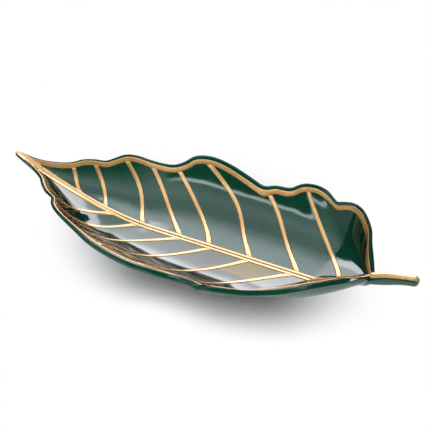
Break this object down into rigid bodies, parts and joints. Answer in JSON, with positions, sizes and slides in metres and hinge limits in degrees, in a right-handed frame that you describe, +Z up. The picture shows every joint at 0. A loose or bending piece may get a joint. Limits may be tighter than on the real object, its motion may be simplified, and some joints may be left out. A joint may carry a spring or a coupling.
{
  "type": "leaf shaped plate",
  "caption": "Leaf-shaped glazed serving dish with a lobed rim, a round stem and raised gilded veins, standing on a lens-shaped foot.",
  "frame": {"origin": "on the table plane, under the middle of the overall length and width, below the midrib", "axes": "+X along the midrib from the tip towards the stem, +Y across the leaf to the side that is far from the camera in the picture, +Z up"},
  "size_m": [0.334, 0.1553, 0.0389],
  "materials": {
    "glaze": "gloss dark green glaze",
    "gilding": "bright fired gold",
    "bisque": "unglazed, ground flat"
  },
  "bodies": {
    "root": {"leaf_body": "glaze", "stem": "glaze", "foot_ring": "bisque", "tip_gilding": "gilding", "rim_band_far": "gilding", "rim_band_near": "gilding", "midrib_strand_far": "gilding", "midrib_strand_near": "gilding", "stem_gilding": "gilding", "vein_far_1": "gilding", "vein_far_2": "gilding", "vein_far_3": "gilding", "vein_far_4": "gilding", "vein_far_5": "gilding", "vein_far_6": "gilding", "vein_far_7": "gilding", "vein_far_8": "gilding", "vein_near_1": "gilding", "vein_near_2": "gilding", "vein_near_3": "gilding", "vein_near_4": "gilding", "vein_near_5": "gilding", "vein_near_6": "gilding", "vein_near_7": "gilding"}
  },
  "joints": []
}
